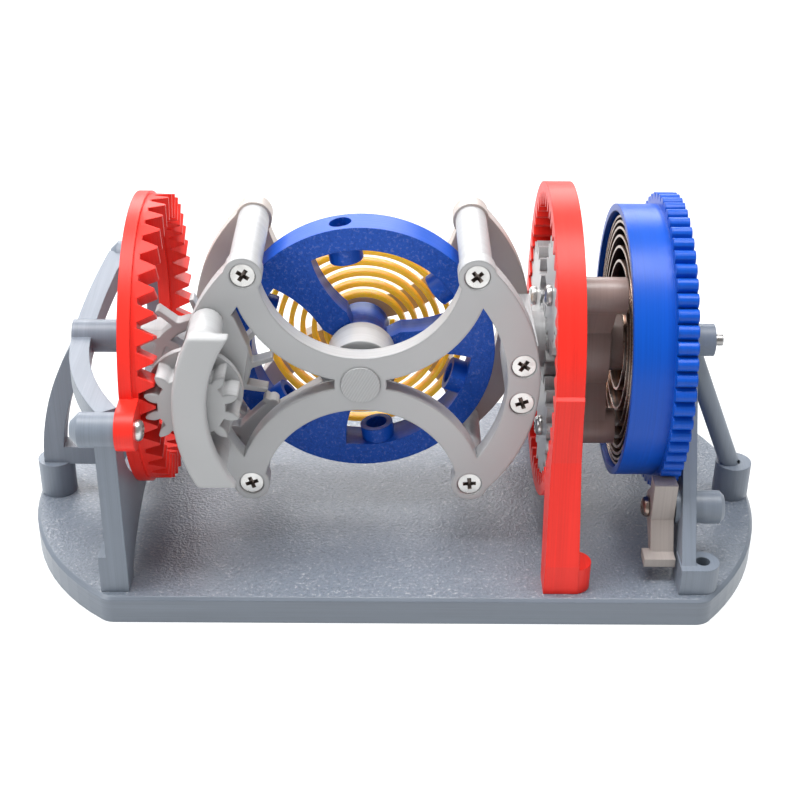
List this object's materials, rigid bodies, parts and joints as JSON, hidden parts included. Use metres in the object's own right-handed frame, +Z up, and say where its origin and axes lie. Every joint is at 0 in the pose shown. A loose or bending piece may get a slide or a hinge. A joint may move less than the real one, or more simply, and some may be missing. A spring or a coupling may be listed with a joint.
{
  "type": "escapement model",
  "caption": "Desk model of a tourbillon escapement: a spring barrel and planetary train turn the balance cage on a level axis, rolling its pinion round a fixed crown gear",
  "frame": {"origin": "centre of the underside of the base", "axes": "+X runs along the cage axis towards the spring barrel, +Y to the back, +Z up"},
  "size_m": [0.194, 0.098, 0.0952],
  "materials": {
    "frame_grey": "satin printed plastic, blue-grey",
    "pale_grey": "silky printed plastic, light grey",
    "ivory": "satin printed plastic, off-white",
    "warm_grey": "satin printed plastic, warm grey",
    "gear_red": "matte printed plastic, red",
    "wheel_blue": "glossy printed plastic, blue",
    "spring_yellow": "satin printed plastic, yellow",
    "steel": "bright plated steel",
    "dark_steel": "dark plated steel",
    "spring_steel": "dark tempered spring steel, bright edges"
  },
  "bodies": {
    "stand": {"base_plate": "frame_grey", "left_frame": "frame_grey", "right_frame": "frame_grey", "ring_gear_stand": "gear_red", "crown_gear": "gear_red", "crown_screws": "steel", "left_pivot": "steel", "centre_shaft": "steel", "pawl_screw": "dark_steel"},
    "pawl": {"pawl": "ivory"},
    "barrel": {"barrel": "wheel_blue", "mainspring": "spring_steel"},
    "carrier": {"planet_carrier": "warm_grey", "planet_screws": "steel"},
    "planet_1": {"planet_gear_1": "pale_grey"},
    "planet_2": {"planet_gear_2": "pale_grey"},
    "planet_3": {"planet_gear_3": "pale_grey"},
    "cage": {"cage_front_plate": "pale_grey", "cage_back_plate": "pale_grey", "cage_screws": "steel", "cage_end_block": "pale_grey", "end_block_screws": "steel", "cage_left_bearing": "pale_grey", "sun_gear": "pale_grey", "escapement_bridge": "pale_grey", "bearing_plug": "pale_grey", "hairspring_stud": "pale_grey", "hairspring": "spring_yellow"},
    "escape": {"escape_wheel": "pale_grey", "escape_pinion": "pale_grey", "escape_arbor": "steel"},
    "lever": {"pallet_lever": "pale_grey", "lever_arbor": "steel"},
    "balance": {"balance_wheel": "wheel_blue", "balance_roller": "pale_grey", "balance_staff": "steel"}
  },
  "joints": [
    {"name": "cage_spin", "type": "hinge", "parent": "stand", "child": "cage", "pos_m": [0, 0, 0.0547], "axis": [1, 0, 0], "continuous": true},
    {"name": "carrier_turn", "type": "hinge", "parent": "stand", "child": "carrier", "pos_m": [0, 0, 0.0547], "axis": [1, 0, 0], "continuous": true},
    {"name": "planet_1_spin", "type": "hinge", "parent": "carrier", "child": "planet_1", "pos_m": [0.0378, 0.02245, 0.05627], "axis": [1, 0, 0], "continuous": true},
    {"name": "planet_2_spin", "type": "hinge", "parent": "carrier", "child": "planet_2", "pos_m": [0.0378, -0.01258, 0.07335], "axis": [1, 0, 0], "continuous": true},
    {"name": "planet_3_spin", "type": "hinge", "parent": "carrier", "child": "planet_3", "pos_m": [0.0378, -0.00986, 0.03448], "axis": [1, 0, 0], "continuous": true},
    {"name": "escape_turn", "type": "hinge", "parent": "cage", "child": "escape", "pos_m": [-0.049, 0, 0.0547], "axis": [0, 1, 0], "continuous": true},
    {"name": "balance_swing", "type": "hinge", "parent": "cage", "child": "balance", "pos_m": [-0.009, 0, 0.0547], "axis": [0, 1, 0], "range_deg": [-20, 20], "stiffness_Nm_per_rad": 0.0013, "deforming": ["hairspring"]},
    {"name": "lever_rock", "type": "hinge", "parent": "cage", "child": "lever", "pos_m": [-0.04145, 0, 0.03289], "axis": [0, 1, 0], "range_deg": [-4, 4]},
    {"name": "barrel_wind", "type": "hinge", "parent": "stand", "child": "barrel", "pos_m": [0, 0, 0.0547], "axis": [1, 0, 0], "continuous": true, "deforming": ["mainspring"]},
    {"name": "pawl_lift", "type": "hinge", "parent": "stand", "child": "pawl", "pos_m": [0.06406, -0.02945, 0.02237], "axis": [1, 0, 0], "range_deg": [0, 12]}
  ],
  "couplings": [
    {"joint": "carrier_turn", "follows": "cage_spin", "ratio": 0.2},
    {"joint": "planet_1_spin", "follows": "cage_spin", "ratio": -0.53333},
    {"joint": "planet_2_spin", "follows": "cage_spin", "ratio": -0.53333},
    {"joint": "planet_3_spin", "follows": "cage_spin", "ratio": -0.53333},
    {"joint": "escape_turn", "follows": "cage_spin", "ratio": 3.3333},
    {"joint": "lever_rock", "follows": "balance_swing", "ratio": -0.2}
  ]
}
